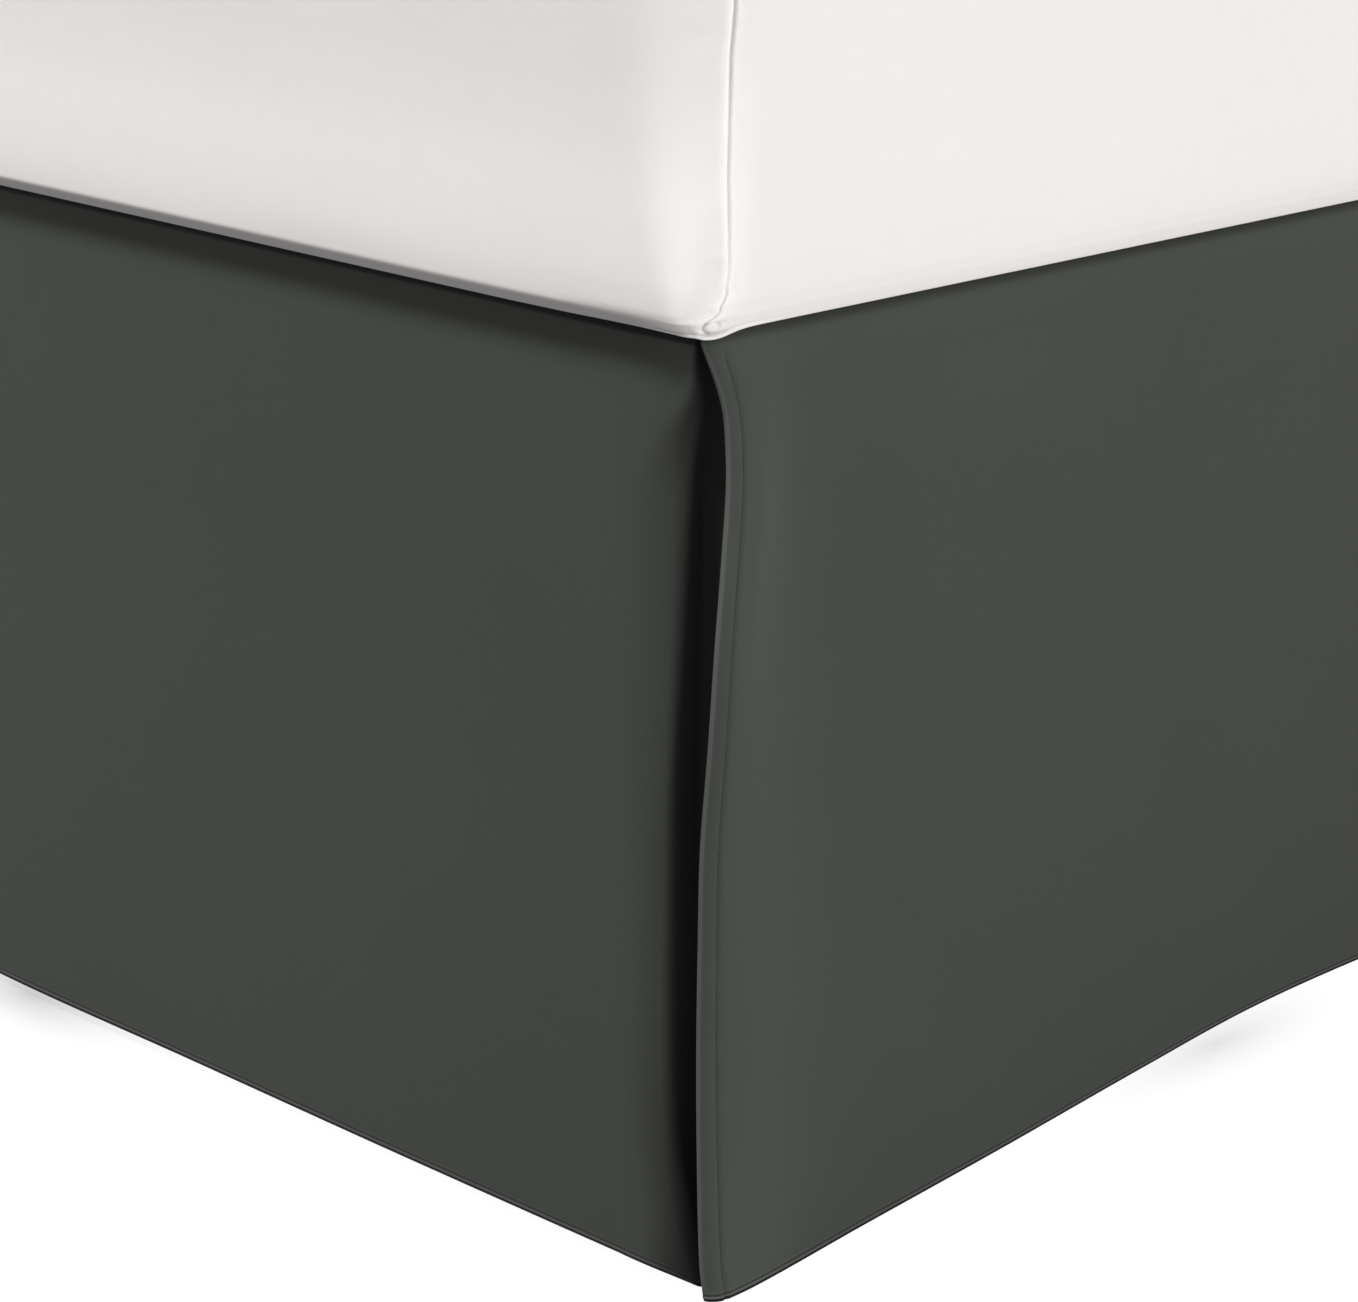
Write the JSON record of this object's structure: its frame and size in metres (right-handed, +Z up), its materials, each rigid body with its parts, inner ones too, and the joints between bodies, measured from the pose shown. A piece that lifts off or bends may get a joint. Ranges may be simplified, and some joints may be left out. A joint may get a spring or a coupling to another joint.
{
  "type": "bed skirt on a bed with mattress and box spring",
  "caption": "Tailored bed skirt in dark grey cloth, hanging to the floor from under a plain white mattress, with hemmed drops that overlap in open corners at the foot.",
  "frame": {"origin": "on the floor under the middle of the bed, the centre of the base of the bounding box", "axes": "+Z up, +Y towards the head of the bed, +X to the right as seen from the foot"},
  "size_m": [1.5498, 2.0826, 0.6513],
  "materials": {
    "skirt_cloth": "plain brushed microfibre, dark grey-green, matt with a soft sheen",
    "mattress_cover": "plain smooth white cotton cover, matt",
    "box_spring_cloth": "plain woven cover, matt",
    "leg_paint": "matt black"
  },
  "bodies": {
    "root": {"deck": "skirt_cloth", "foot_drop": "skirt_cloth", "side_drop_right": "skirt_cloth", "side_drop_left": "skirt_cloth", "mattress": "mattress_cover", "box_spring": "box_spring_cloth", "leg_foot_left": "leg_paint", "leg_foot_right": "leg_paint", "leg_middle_left": "leg_paint", "leg_middle_right": "leg_paint", "leg_head_left": "leg_paint", "leg_head_right": "leg_paint"}
  },
  "joints": []
}
